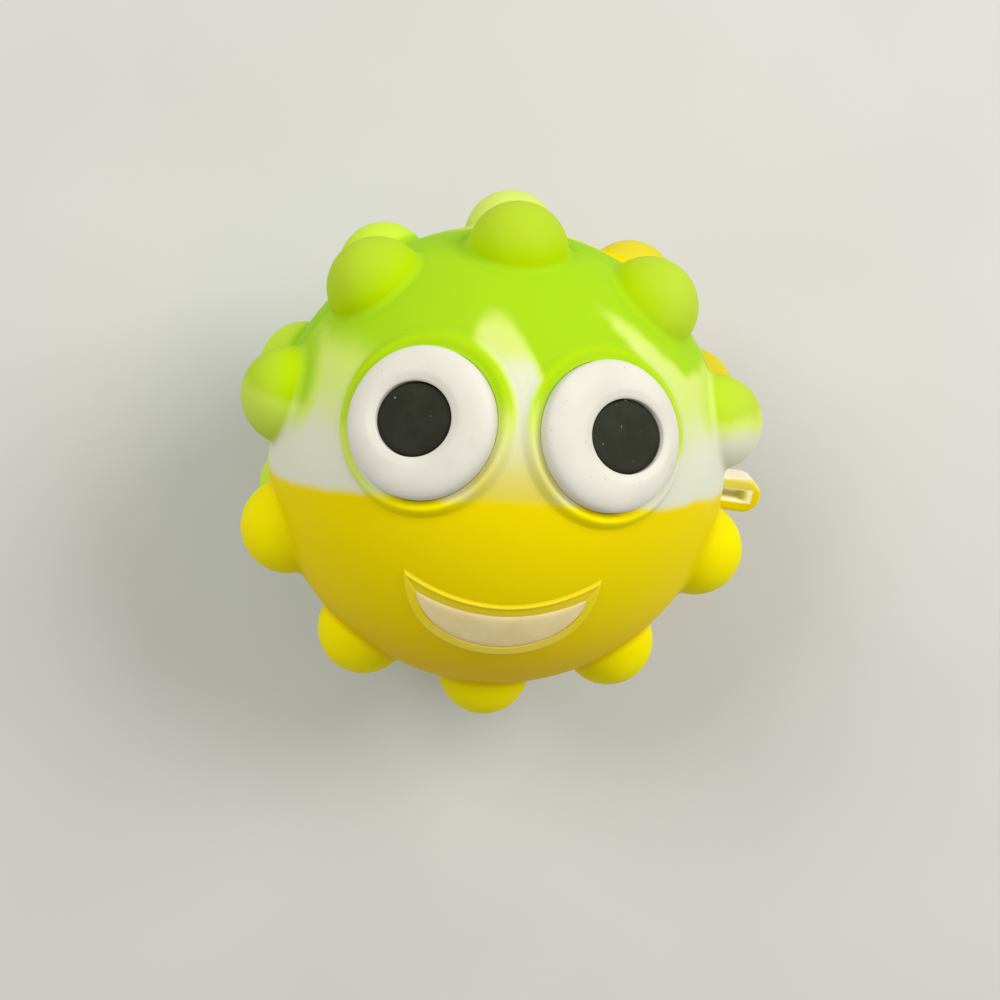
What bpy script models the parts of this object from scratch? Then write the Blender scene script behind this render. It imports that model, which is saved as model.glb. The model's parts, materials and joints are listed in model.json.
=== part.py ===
"""Squeeze ball: a hollow two-half rubber ball with a moulded smiling face, pop-in bubbles and a
hanging loop.

The ball is modelled about its own centre with +Z out of the face, +Y towards the forehead and +X
towards the right of somebody looking at the face. An empty then tips it onto three of the bubbles on
its back, the way it lies on a table. Every bubble is a separate cap on its own axis, because every
bubble can be pushed in.

Directions on the ball are given as a polar angle from the face axis and an azimuth that runs
clockwise from the forehead, or, on the face, as a longitude (to the right) and a latitude (upwards).
"""

import math

import bmesh
import bpy
from mathutils import Matrix, Vector

# ---- Driving dimensions, in metres and degrees ----
BALL_R = 0.0300  # outer radius of the round body
WALL = 0.0024  # wall of the two half shells
GAP = 0.0003  # clearance between neighbouring pieces

BUBBLE_R = 0.0062  # radius of a bubble's dome
BUBBLE_SINK = 0.0012  # how far the dome's centre lies under the ball's surface
BUBBLE_WALL = 0.0010
BUBBLE_NECK_R = 0.0058  # radius of the moving cap where it meets the shell
BUBBLE_RIM = 0.0295  # distance of the cap's rim from the ball's centre
RIM_POLAR = 74.5  # polar angle of the front ring, mirrored behind the seam
RIM_COUNT = 10
BACK_COUNT = 5

SPIGOT_LENGTH = 0.0008  # lip of the front half that locates it in the back half
SPIGOT_WALL = 0.00105

# The eyes aren't quite alike: their longitude and latitude, and how far each pupil lies to the right
# of the eye's middle and above it.
EYE_PLACES = {"left": (-22.0, 22.4), "right": (23.0, 21.9)}
PUPIL_SHIFT = {"left": (-0.00045, 0.00015), "right": (0.00135, -0.0001)}
EYE_R = 0.00847
EYE_SEAT = 0.0283  # distance of the flat eye seat from the ball's centre
EYE_EDGE = 0.0300  # distance of the place where the eye's rounded edge starts
EYE_ROUNDING = ((0.0, 0.0), (0.0003, 0.0006), (0.0010, 0.0012), (0.0022, 0.0015))  # steps in and up
EYE_HOLLOW = 0.0001  # how far the eye's middle lies below its highest ring
EYE_BEVEL = 0.0006  # at the back edge
COLLAR_HEIGHT = 0.0008
COLLAR_WIDTH = 0.0013
COLLAR_BASE = 0.0270  # distance of the collar's buried foot from the ball's centre
COLLAR_SINK = 0.0004  # how far its outer edge lies under the skin
PUPIL_R = 0.00415
PUPIL_TOP = 0.0310
PUPIL_DEPTH = 0.0006

SMILE_HALF_WIDTH = 20.0  # half the width of the teeth, in degrees
TEETH_TOP_R = 0.0300
TEETH_DEPTH = 0.0012
LIP_HEIGHT = 0.0005

LOOP_TURN = 4.6  # how far the loop lies below the level of the face's middle, in degrees
LOOP_WIDTH = 0.0046
LOOP_BAND = 0.0015
LOOP_BAR = 0.0004  # thickness of the bar that closes the band along the ball's side
LOOP_REACH = 0.0360  # distance of the loop's end from the ball's centre
LOOP_DEPTH = 0.0048
LOOP_EDGE = 0.0004  # bevel along the loop's edges

CUT_START = 0.0255  # where the tools that cut the bubbles' holes start and all tools end,
CUT_END = 0.0340  # measured from the ball's centre

# ---- How finely round things are divided ----
BALL_SEGMENTS = 40
BALL_RINGS = 9
BUBBLE_SEGMENTS = 16
EYE_SEGMENTS = 32
SMILE_COLUMNS = 14

# ---- Worked out from the above ----
DOME_CENTRE = BALL_R - BUBBLE_SINK
BACK_POLAR = 180.0 - RIM_POLAR / 2.0
INNER_R = BALL_R - WALL
# Resting on the pole bubble and the two bubbles of the ring of five on the chin's side, the ball
# leans until all three are equally far below its centre.
LEAN = math.atan(math.tan(math.radians(RIM_POLAR / 4.0)) / math.cos(math.radians(180.0 / BACK_COUNT)))
REST_HEIGHT = DOME_CENTRE * math.cos(LEAN) + BUBBLE_R
SIDE_REACH = (
    DOME_CENTRE * math.sin(math.radians(RIM_POLAR)) * math.sin(math.radians(2 * 360.0 / RIM_COUNT))
    + BUBBLE_R
)
LOOP_SIDE = (LOOP_REACH - LOOP_WIDTH / 2) * math.cos(math.radians(LOOP_TURN)) + LOOP_WIDTH / 2
SIDE_SHIFT = (SIDE_REACH - LOOP_SIDE) / 2.0  # centres the whole object, loop included

COLOURS = {
    "shell_front": (0.45, 0.75, 0.03),
    "shell_back": (0.80, 0.72, 0.02),
    "bubble_green": (0.48, 0.78, 0.05),
    "bubble_yellow": (0.80, 0.68, 0.01),
    "bubble_pale": (0.70, 0.78, 0.30),
    "eye_white": (0.80, 0.78, 0.70),
    "pupil_black": (0.03, 0.03, 0.028),
    "teeth_cream": (0.68, 0.58, 0.36),
}


def clear_scene():
    """Remove whatever the file opened with."""
    for obj in list(bpy.data.objects):
        bpy.data.objects.remove(obj, do_unlink=True)


def make_material(name):
    """One Principled material for a finish, made once and shared by the pieces that have it."""
    found = bpy.data.materials.get(name)
    if found:
        return found
    mat = bpy.data.materials.new(name)
    mat.use_nodes = True
    shader = mat.node_tree.nodes["Principled BSDF"]
    shader.inputs["Base Color"].default_value = (*COLOURS[name], 1.0)
    shader.inputs["Roughness"].default_value = 0.45
    shader.inputs["Metallic"].default_value = 0.0
    return mat


def face_direction(lon, lat):
    """Unit vector towards a longitude and latitude on the face, in degrees."""
    lon, lat = math.radians(lon), math.radians(lat)
    return Vector((math.cos(lat) * math.sin(lon), math.sin(lat), math.cos(lat) * math.cos(lon)))


def polar_direction(polar, azimuth):
    """Unit vector at a polar angle from the face axis and an azimuth from the forehead."""
    polar, azimuth = math.radians(polar), math.radians(azimuth)
    flat = math.sin(polar)
    return Vector((flat * math.sin(azimuth), flat * math.cos(azimuth), math.cos(polar)))


def frame_along(direction, distance=0.0):
    """Matrix whose +Z runs along direction, with its origin that far out, and +Y towards the forehead."""
    z = direction.normalized()
    up = Vector((0, 1, 0)) if abs(z.y) < 0.99 else Vector((0, 0, -1))
    x = up.cross(z).normalized()
    y = z.cross(x)
    turn = Matrix((x, y, z)).transposed().to_4x4()
    return Matrix.Translation(z * distance) @ turn


def finish_mesh(bm, name):
    """Turn a bmesh into a mesh with its faces pointing out and its round sides shaded smooth."""
    bmesh.ops.remove_doubles(bm, verts=bm.verts, dist=1e-7)
    bmesh.ops.recalc_face_normals(bm, faces=bm.faces)
    mesh = bpy.data.meshes.new(name)
    bm.to_mesh(mesh)
    bm.free()
    mesh.shade_smooth()
    mesh.set_sharp_from_angle(angle=math.radians(40))
    return mesh


def turned(name, profile, segments, closed=False):
    """Spin a profile of (radius, height) points about Z. An open profile starts and ends on the axis."""
    bm = bmesh.new()
    verts = [bm.verts.new((r, 0.0, z)) for r, z in profile]
    edges = [bm.edges.new(pair) for pair in zip(verts, verts[1:])]
    if closed:
        edges.append(bm.edges.new((verts[-1], verts[0])))
    bmesh.ops.spin(
        bm, geom=verts + edges, cent=(0, 0, 0), axis=(0, 0, 1), angle=math.tau, steps=segments
    )
    return finish_mesh(bm, name)


def plug(name, radius, low, high, segments):
    """A straight round plug along Z, for cutting."""
    return turned(name, [(0.0, low), (radius, low), (radius, high), (0.0, high)], segments)


def crescent(name, upper, lower, inner_r, outer_r):
    """A curved plate between two edges that meet at the corners of the smile.

    upper and lower give (longitude, latitude) for s from -1 to 1, and each column of the plate joins
    a point of one to a point of the other, at both radii.
    """
    bm = bmesh.new()
    rows = []
    for i in range(SMILE_COLUMNS + 1):
        s = math.sin(math.pi / 2 * (2 * i / SMILE_COLUMNS - 1))
        (lon_a, lat_a), (lon_b, lat_b) = upper(s), lower(s)
        middle = ((lon_a + lon_b) / 2, (lat_a + lat_b) / 2)
        across = [(lon_a, lat_a), middle, (lon_b, lat_b)]
        row = [bm.verts.new(face_direction(*p) * outer_r) for p in across]
        row += [bm.verts.new(face_direction(*p) * inner_r) for p in reversed(across)]
        rows.append(row)
    count = len(rows[0])
    for a, b in zip(rows, rows[1:]):
        for k in range(count):
            bm.faces.new((a[k], a[(k + 1) % count], b[(k + 1) % count], b[k]))
    for end in (rows[0], rows[-1]):
        bm.faces.new((end[0], end[1], end[4], end[5]))
        bm.faces.new((end[1], end[2], end[3], end[4]))
    return finish_mesh(bm, name)


def smile_edges(grow):
    """The teeth's two edges: a shallow parabola above and half an ellipse below, grown by an angle."""

    def upper(s):
        return ((SMILE_HALF_WIDTH + grow) * s, -19.4 + 4.2 * s * s + grow)

    def lower(s):
        return ((SMILE_HALF_WIDTH + grow) * s, -15.7 - 15.1 * math.sqrt(1 - s * s) - grow)

    return upper, lower


def lip_edges():
    """The lips' outline: the corners turn up past the ends of the teeth."""

    def upper(s):
        return (21.9 * s, -16.8 + 6.6 * s * s)

    def lower(s):
        return (22.2 * s, -10.8 - 22.6 * (1 - s * s) ** 0.375)

    return upper, lower


def loop_mesh(name):
    """A U-shaped band round a slot, flat on both faces, with its edges bevelled.

    The band's outline is a straight-sided tab with a round end. It lies in the XY plane with its open
    end towards the ball, closed by a short bar that follows the ball's side.
    """
    half = LOOP_WIDTH / 2
    root = BALL_R + GAP
    slot_start = root + LOOP_BAR

    def outline(radius, start, centre):
        steps = 10
        arc = [
            (centre + radius * math.cos(a), radius * math.sin(a))
            for a in (math.pi * (k / steps - 0.5) for k in range(steps + 1))
        ]
        return [(start, -radius)] + arc + [(start, radius)]

    centre = LOOP_REACH - half
    outer = outline(half, root, centre)
    inner = outline(half - LOOP_BAND, slot_start, centre)
    bm = bmesh.new()
    low, high = -LOOP_DEPTH / 2, LOOP_DEPTH / 2
    rings = [
        [bm.verts.new((x, y, z)) for x, y in line]
        for line, z in ((outer, low), (outer, high), (inner, high), (inner, low))
    ]
    count = len(outer)
    for k in range(4):
        a, b = rings[k], rings[(k + 1) % 4]
        for i in range(count):
            j = (i + 1) % count
            bm.faces.new((a[i], a[j], b[j], b[i]))
    bmesh.ops.recalc_face_normals(bm, faces=bm.faces)
    flat = [e for e in bm.edges if abs(e.verts[0].co.z - e.verts[1].co.z) < 1e-9]
    rims = [e for e in flat if e.calc_face_angle() > math.radians(60)]
    bmesh.ops.bevel(bm, geom=rims, offset=LOOP_EDGE, segments=1, affect="EDGES")
    return finish_mesh(bm, name)


def add_piece(name, mesh, mat_name, parent, matrix=None):
    """Put one named piece in the scene under the ball's empty."""
    obj = bpy.data.objects.new(name, mesh)
    bpy.context.scene.collection.objects.link(obj)
    obj.parent = parent
    obj.matrix_local = matrix or Matrix.Identity(4)
    if not mesh.materials:
        mesh.materials.append(make_material(mat_name))
    obj.material_slots[0].link = "OBJECT"
    obj.material_slots[0].material = make_material(mat_name)
    return obj


def add_tool(name, mesh, parent, matrix, group):
    """Put a shape that is only cut away or merged into a piece in its own collection."""
    obj = bpy.data.objects.new(name, mesh)
    group.objects.link(obj)
    obj.parent = parent
    obj.matrix_local = matrix
    obj.hide_render = True
    obj.display_type = "WIRE"
    return obj


def new_group(name):
    """A collection for the tools of one piece."""
    group = bpy.data.collections.new(name)
    bpy.context.scene.collection.children.link(group)
    return group


def combine(obj, group, operation):
    """Cut every shape of a group out of a piece, or merge them into it."""
    mod = obj.modifiers.new(f"{operation.lower()}_{group.name}", "BOOLEAN")
    mod.operation = operation
    mod.operand_type = "COLLECTION"
    mod.collection = group
    mod.solver = "EXACT"


def arc(radius, start, end, steps):
    """Points (r, z) of an arc about the ball's centre, from one polar angle to another, in degrees."""
    angles = [math.radians(start + (end - start) * k / steps) for k in range(steps + 1)]
    return [(radius * math.sin(a), radius * math.cos(a)) for a in angles]


def front_profile():
    """Front half: outer skin, rim, locating spigot, inner skin."""
    outer = arc(BALL_R, 0, 90 - math.degrees(math.asin(GAP / 2 / BALL_R)), BALL_RINGS)
    outer[0] = (0.0, BALL_R)
    spigot_r = INNER_R + SPIGOT_WALL
    lip = [(spigot_r, GAP / 2), (spigot_r, -SPIGOT_LENGTH), (INNER_R, -SPIGOT_LENGTH)]
    inner = arc(INNER_R, 90, 0, BALL_RINGS - 2)
    inner[-1] = (0.0, INNER_R)
    return outer + lip + inner


def back_profile():
    """Back half: outer skin, rim, the rebate that takes the spigot, inner skin."""
    outer = arc(BALL_R, 180, 90 + math.degrees(math.asin(GAP / 2 / BALL_R)), BALL_RINGS)
    outer[0] = (0.0, -BALL_R)
    rebate_r = INNER_R + SPIGOT_WALL + GAP
    floor = SPIGOT_LENGTH + GAP
    start = 90 + math.degrees(math.asin(floor / INNER_R))
    inner = arc(INNER_R, start, 180, BALL_RINGS - 2)
    inner[-1] = (0.0, -INNER_R)
    return outer + [(rebate_r, -GAP / 2), (rebate_r, -floor)] + inner


def bubble_profile():
    """A bubble cap about its own axis: domed outside, straight neck, rim, and a smaller dome inside.

    Heights are from the rim, so that the cap's origin is on its axis at its rim.
    """
    base = BUBBLE_RIM
    inner_r = BUBBLE_R - BUBBLE_WALL
    neck_inner = BUBBLE_NECK_R - BUBBLE_WALL
    outer_end = math.asin(BUBBLE_NECK_R / BUBBLE_R)
    inner_end = math.asin(neck_inner / inner_r)
    lift = DOME_CENTRE - base
    outer = [
        (BUBBLE_R * math.sin(outer_end * k / 3), lift + BUBBLE_R * math.cos(outer_end * k / 3))
        for k in range(4)
    ]
    inner = [
        (inner_r * math.sin(inner_end * k / 2), lift + inner_r * math.cos(inner_end * k / 2))
        for k in (2, 1, 0)
    ]
    inner[-1] = (0.0, inner[-1][1])
    return outer + [(BUBBLE_NECK_R, 0.0), (neck_inner, 0.0)] + inner


def eye_profile():
    """The white of an eye about its own axis: flat back, rounded edge, nearly flat front."""
    back = EYE_SEAT + GAP
    middle = EYE_EDGE + EYE_ROUNDING[-1][1] - EYE_HOLLOW
    edge = [(EYE_R - inwards, EYE_EDGE + up) for inwards, up in EYE_ROUNDING]
    foot = [(0.0, back), (EYE_R - EYE_BEVEL, back), (EYE_R, back + EYE_BEVEL)]
    return foot + edge + [(PUPIL_R + EYE_BEVEL, middle), (0.0, middle)]


def pupil_profile():
    """A black disc with a softened edge, about the eye's axis."""
    low, high = PUPIL_TOP - PUPIL_DEPTH, PUPIL_TOP
    return [(0.0, low), (PUPIL_R, low), (PUPIL_R, high - 0.0002), (PUPIL_R - 0.0002, high), (0.0, high)]


def collar_profile():
    """The raised ring moulded round an eye, reaching down into the wall.

    It starts a little inside the eye's seat, so that cutting the seat trims its inner side.
    """
    inner = EYE_R
    outer = EYE_R + GAP + COLLAR_WIDTH
    crest = EYE_R + GAP + COLLAR_WIDTH / 2 - 0.0001
    surface = math.sqrt(BALL_R**2 - crest**2)
    return [
        (inner, COLLAR_BASE),
        (outer, COLLAR_BASE),
        (outer, math.sqrt(BALL_R**2 - outer**2) - COLLAR_SINK),
        (crest + 0.0004, surface + COLLAR_HEIGHT * 0.8),
        (crest, surface + COLLAR_HEIGHT),
        (inner, surface + COLLAR_HEIGHT * 0.7),
    ]


def front_colour(azimuth):
    """The front half is green above and yellow below."""
    return "green" if math.cos(math.radians(azimuth)) > 0 else "yellow"


def back_colour(azimuth):
    """The back half is turned a quarter: green on the left, yellow on the right, pale between them."""
    side = math.sin(math.radians(azimuth))
    if abs(side) < 0.1:
        return "pale"
    return "yellow" if side > 0 else "green"


def bubble_places():
    """Every bubble's name, polar angle, azimuth and colour, ring by ring from the face to the back."""
    for i in range(RIM_COUNT):
        azimuth = 360.0 / RIM_COUNT * i
        yield f"front_bubble_{i + 1:02d}", RIM_POLAR, azimuth, front_colour(azimuth)
    for i in range(RIM_COUNT):
        azimuth = 360.0 / RIM_COUNT * i
        yield f"rim_bubble_{i + 1:02d}", 180.0 - RIM_POLAR, azimuth, back_colour(azimuth)
    for i in range(BACK_COUNT):
        azimuth = 360.0 / BACK_COUNT * i
        yield f"back_bubble_{i + 1:02d}", BACK_POLAR, azimuth, back_colour(azimuth)
    yield "pole_bubble", 180.0, 0.0, "pale"


def build_bubbles(ball, front_cuts, back_cuts):
    """The caps, and the round hole that each one travels through."""
    cap = turned("bubble_cap", bubble_profile(), BUBBLE_SEGMENTS)
    hole = plug("bubble_hole", BUBBLE_NECK_R + GAP, CUT_START, CUT_END, BUBBLE_SEGMENTS)
    for name, polar, azimuth, colour in bubble_places():
        direction = polar_direction(polar, azimuth)
        add_piece(name, cap, f"bubble_{colour}", ball, frame_along(direction, BUBBLE_RIM))
        cuts = front_cuts if polar < 90 else back_cuts
        add_tool(f"hole_{name}", hole, ball, frame_along(direction), cuts)


def build_eyes(ball, front_cuts, front_raised):
    """Two domed whites in collars, each with a black pupil let into it."""
    for side, (lon, lat) in EYE_PLACES.items():
        place = frame_along(face_direction(lon, lat))
        collar = turned(f"collar_{side}", collar_profile(), EYE_SEGMENTS, closed=True)
        add_tool(f"collar_{side}", collar, ball, place, front_raised)
        seat = plug(f"seat_{side}", EYE_R + GAP, EYE_SEAT, CUT_END, EYE_SEGMENTS)
        add_tool(f"seat_{side}", seat, ball, place, front_cuts)

        shift = Matrix.Translation((*PUPIL_SHIFT[side], 0.0))
        white_mesh = turned(f"eye_white_{side}", eye_profile(), EYE_SEGMENTS)
        white = add_piece(f"eye_white_{side}", white_mesh, "eye_white", ball, place)
        well_floor = PUPIL_TOP - PUPIL_DEPTH - GAP
        well = plug(f"well_{side}", PUPIL_R + GAP, well_floor, CUT_END, EYE_SEGMENTS)
        wells = new_group(f"well_{side}")
        add_tool(f"well_{side}", well, ball, place @ shift, wells)
        combine(white, wells, "DIFFERENCE")
        pupil_mesh = turned(f"pupil_{side}", pupil_profile(), EYE_SEGMENTS)
        add_piece(f"pupil_{side}", pupil_mesh, "pupil_black", ball, place @ shift)


def build_mouth(ball, front_cuts, front_raised):
    """Raised lips on the shell, and a crescent of teeth let in between them."""
    home = Matrix.Identity(4)
    lips = crescent("lips", *lip_edges(), INNER_R + 0.0006, BALL_R + LIP_HEIGHT)
    add_tool("lips", lips, ball, home, front_raised)
    floor = TEETH_TOP_R - TEETH_DEPTH - GAP
    grow = math.degrees(GAP / BALL_R)
    recess = crescent("mouth_recess", *smile_edges(grow), floor, CUT_END)
    add_tool("mouth_recess", recess, ball, home, front_cuts)
    teeth = crescent("teeth", *smile_edges(0.0), TEETH_TOP_R - TEETH_DEPTH, TEETH_TOP_R)
    add_piece("teeth", teeth, "teeth_cream", ball, home)


def main():
    clear_scene()
    ball = bpy.data.objects.new("ball_frame", None)
    bpy.context.scene.collection.objects.link(ball)
    rest = Matrix.Translation((SIDE_SHIFT, 0.0, REST_HEIGHT))
    ball.matrix_world = rest @ Matrix.Rotation(LEAN, 4, "X")
    front_cuts = new_group("front_cuts")
    back_cuts = new_group("back_cuts")
    front_raised = new_group("front_raised")

    front_mesh = turned("front_shell", front_profile(), BALL_SEGMENTS)
    front = add_piece("front_shell", front_mesh, "shell_front", ball)
    back_mesh = turned("back_shell", back_profile(), BALL_SEGMENTS)
    back = add_piece("back_shell", back_mesh, "shell_back", ball)
    build_bubbles(ball, front_cuts, back_cuts)
    build_eyes(ball, front_cuts, front_raised)
    build_mouth(ball, front_cuts, front_raised)
    combine(front, front_raised, "UNION")
    combine(front, front_cuts, "DIFFERENCE")
    combine(back, back_cuts, "DIFFERENCE")
    loop_place = Matrix.Rotation(math.radians(-LOOP_TURN), 4, "Z")
    add_piece("hang_loop", loop_mesh("hang_loop"), "shell_front", ball, loop_place)


main()
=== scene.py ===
# %% [markdown]
# # A smiling pop-bubble squeeze ball
#
# The real ball is two half shells of soft silicone rubber glued at their rims. Twenty-six hollow
# bubbles stand out of the shells and can be pushed in, two eyes and a row of teeth are set into the
# face, and a small loop for a cord grows out of one side. The measured model decides where
# everything is and how it moves. This lesson builds the finished surfaces round it.

import json
import math

import bpy
import numpy as np
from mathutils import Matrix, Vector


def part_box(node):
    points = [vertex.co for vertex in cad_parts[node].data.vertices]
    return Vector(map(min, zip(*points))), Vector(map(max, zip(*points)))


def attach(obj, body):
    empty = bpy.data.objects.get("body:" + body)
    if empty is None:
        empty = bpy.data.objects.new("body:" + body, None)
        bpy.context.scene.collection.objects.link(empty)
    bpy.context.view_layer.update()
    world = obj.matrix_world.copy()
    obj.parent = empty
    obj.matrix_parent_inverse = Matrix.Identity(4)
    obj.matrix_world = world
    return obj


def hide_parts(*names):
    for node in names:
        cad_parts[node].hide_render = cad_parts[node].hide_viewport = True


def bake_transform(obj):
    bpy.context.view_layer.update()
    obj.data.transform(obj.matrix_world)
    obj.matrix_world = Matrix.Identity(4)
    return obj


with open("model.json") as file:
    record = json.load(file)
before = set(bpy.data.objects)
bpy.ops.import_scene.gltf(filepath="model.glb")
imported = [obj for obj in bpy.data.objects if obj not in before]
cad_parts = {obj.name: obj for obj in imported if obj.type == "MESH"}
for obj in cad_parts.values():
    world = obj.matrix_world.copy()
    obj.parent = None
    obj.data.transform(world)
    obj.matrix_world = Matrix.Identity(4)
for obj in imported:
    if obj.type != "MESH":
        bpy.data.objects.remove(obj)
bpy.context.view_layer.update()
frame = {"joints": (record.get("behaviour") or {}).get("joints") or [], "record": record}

# %% [markdown]
# ## The ball's own frame
#
# Shapes on a ball are easiest about the ball's centre, with z out of the face, y towards the
# forehead and x to the right of somebody looking at the face. On the table the ball leans back on
# three bubbles, so every finished point is turned by that lean and then carried to the centre.

# %% The ball's frame and the way onto the table
BALL_R = 0.0300  # outside of the shell
WALL = 0.0024
LEAN = 22.6158  # degrees from lying flat on its back
CENTRE_HEIGHT = 0.0327854  # of the ball's centre over the table, on three bubbles
_low, _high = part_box("pole_bubble")  # the bubble opposite the face lies straight below the middle
CENTRE = np.array([(_low.x + _high.x) / 2, 0.0, CENTRE_HEIGHT])

_lean = math.radians(LEAN)
TILT = np.array(
    [
        [1, 0, 0],
        [0, math.cos(_lean), -math.sin(_lean)],
        [0, math.sin(_lean), math.cos(_lean)],
    ]
)


def on_table(points):
    """Points of the ball's frame in the table's frame: turned by the lean, then moved to the centre."""
    return points @ TILT.T + CENTRE


def unit(vectors):
    """Each vector divided by its length."""
    return vectors / np.linalg.norm(vectors, axis=-1, keepdims=True)


def looking(lon, lat):
    """Unit vector at a longitude to the right of the face's middle and a latitude above it.

    Both are in degrees. It is (cos lat times sin lon, sin lat, cos lat times cos lon).
    """
    lon, lat = np.radians(lon), np.radians(lat)
    return np.stack([np.cos(lat) * np.sin(lon), np.sin(lat), np.cos(lat) * np.cos(lon)], axis=-1)


print("the ball's centre is", [round(float(v) * 1000, 2) for v in CENTRE], "mm from the origin")

# %% [markdown]
# ## Meshes from grids
#
# Every new piece is a grid of points worked out with numpy. Neighbouring rows and columns are joined
# by four-sided faces, a row that shrinks to a point on an axis becomes one point with a fan of
# triangles, and the sign of the volume tells whether the faces point outwards.

# %% Helpers that turn grids into pieces
SMOOTH_ANGLE = 40.0  # edges sharper than this stay crisp, in degrees


def grid_quads(rows, columns, join_rows=False, join_columns=True):
    """Corner numbers of the faces between neighbours of a grid, row by row.

    A point's number is its row times the number of columns, plus its column. Joined rows or columns
    close up from the last to the first.
    """
    r = np.arange(rows if join_rows else rows - 1)
    c = np.arange(columns if join_columns else columns - 1)
    r, c = (a.ravel() for a in np.meshgrid(r, c, indexing="ij"))
    down, right = (r + 1) % rows, (c + 1) % columns
    corners = [r * columns + c, r * columns + right, down * columns + right, down * columns + c]
    return np.stack(corners, axis=1)


def fan(tip, first, count, flip):
    """Triangles from one point to each pair of neighbours in a closed row of points."""
    ring = first + np.arange(count)
    after = first + (np.arange(count) + 1) % count
    pair = (after, ring) if flip else (ring, after)
    return np.stack([np.full(count, tip), *pair], axis=1)


def volume(points, faces):
    """Sum over all faces, cut into triangles, of a sixth of the triple product of the corners."""
    total = 0.0
    for block in faces:
        for k in range(1, block.shape[1] - 1):
            a, b, c = points[block[:, 0]], points[block[:, k]], points[block[:, k + 1]]
            total += float(np.einsum("ij,ij->", a, np.cross(b, c))) / 6
    return total


def piece(name, points, faces, body, nodes=(), finish=None):
    """A closed mesh from blocks of faces, each block with equally many corners a face.

    It rides on a body if one is given and stands for the nodes, which are hidden.
    """
    if volume(points, faces) < 0:
        faces = [block[:, ::-1] for block in faces]
    mesh = bpy.data.meshes.new(name)
    mesh.vertices.add(len(points))
    mesh.vertices.foreach_set("co", on_table(points).astype(np.float32).ravel())
    sizes = np.concatenate([np.full(len(block), block.shape[1]) for block in faces])
    corners = np.concatenate([block.ravel() for block in faces])
    mesh.loops.add(len(corners))
    mesh.loops.foreach_set("vertex_index", corners.astype(np.int32))
    mesh.polygons.add(len(sizes))
    mesh.polygons.foreach_set("loop_start", (np.cumsum(sizes) - sizes).astype(np.int32))
    mesh.update(calc_edges=True)
    mesh.validate()
    mesh.shade_smooth()
    mesh.set_sharp_from_angle(angle=math.radians(SMOOTH_ANGLE))
    obj = bpy.data.objects.new(name, mesh)
    bpy.context.scene.collection.objects.link(obj)
    if body:
        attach(obj, body)
    if nodes:
        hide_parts(*nodes)
    if finish:
        mesh.materials.append(finish)
    return obj


def along(axis):
    """Rows x, y and z of a frame with z along an axis, and y as near the forehead as it can be."""
    z = unit(np.asarray(axis, float))
    up = np.array([0.0, 1.0, 0.0]) if abs(z[1]) < 0.99 else np.array([0.0, 0.0, -1.0])
    x = unit(np.cross(up, z))
    return np.stack([x, np.cross(z, x), z])


def turned(radius, height, axis, segments):
    """Points and faces of a profile turned about an axis through the ball's centre.

    A point is radius times (sine of the turn, cosine of the turn) across the axis, and height along
    it. The profile's ends are both on the axis, and become single points, or else they are joined.
    """
    turn = np.arange(segments) * 2 * np.pi / segments
    if radius.ndim == 1:  # the same profile at every turn
        radius, height = (np.repeat(a[:, None], segments, axis=1) for a in (radius, height))
    local = np.stack([radius * np.sin(turn), radius * np.cos(turn), height], axis=-1)
    points = local @ along(axis)
    if radius[0, 0] > 0:
        return points.reshape(-1, 3), [grid_quads(points.shape[0], segments, join_rows=True)]
    rings = points[1:-1].reshape(-1, 3)
    count = len(rings)
    both = np.concatenate([rings, points[:1, 0], points[-1:, 0]])
    faces = [
        grid_quads(points.shape[0] - 2, segments),
        fan(count, 0, segments, True),
        fan(count + 1, count - segments, segments, False),
    ]
    return both, faces


def arc(centre, radius, start, end, steps):
    """Radius and height along part of a circle, from one angle to another, measured from the axis."""
    angle = np.radians(np.linspace(start, end, steps))
    return np.stack([centre[0] + radius * np.sin(angle), centre[1] + radius * np.cos(angle)], axis=1)


# %% [markdown]
# ## How the colours are poured
#
# Each half is cast from several batches of coloured rubber that run into one another before they
# set, so a colour crosses from the skin onto a bubble without a break. The pattern is therefore
# written once as arithmetic on the direction from the ball's centre and shared by every piece of that
# half. Wires that add and multiply like numbers keep the formulas readable.

# %% Wires that behave like numbers
class Wire:
    """A value on its way through a material's nodes."""

    def __init__(self, tree, socket):
        self.tree, self.socket = tree, socket

    def through(self, kind, setting, values, name="operation"):
        """A new node of a kind, with one setting and its first sockets filled."""
        node = self.tree.nodes.new(kind)
        setattr(node, name, setting)
        for slot, value in zip(node.inputs, values):
            if isinstance(value, Wire):
                self.tree.links.new(value.socket, slot)
            else:
                slot.default_value = value
        return Wire(self.tree, node.outputs[0])

    def math(self, operation, *others):
        return self.through("ShaderNodeMath", operation, (self, *others))

    def __add__(self, other):
        return self.math("ADD", other)

    def __sub__(self, other):
        return self.math("SUBTRACT", other)

    def __mul__(self, other):
        return self.math("MULTIPLY", other)

    def either(self, other):
        """The larger of the two."""
        return self.math("MAXIMUM", other)

    def rise(self, low, high):
        """0 below low and 1 above high, turning smoothly between them, or the other way round."""
        return self.through("ShaderNodeMapRange", "SMOOTHSTEP", (self, low, high), "interpolation_type")


def cosine(degrees):
    """Cosine of an angle in degrees: what towards() gives at that angle from a direction."""
    return math.cos(math.radians(degrees))


def linear(red, green, blue):
    """A screen colour, 0 to 255 a channel, as light: about the channel's share to the power 2.2."""
    share = np.array([red, green, blue]) / 255
    light = np.where(share <= 0.04045, share / 12.92, ((share + 0.055) / 1.055) ** 2.4)
    return (*(float(v) for v in light), 1.0)


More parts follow.
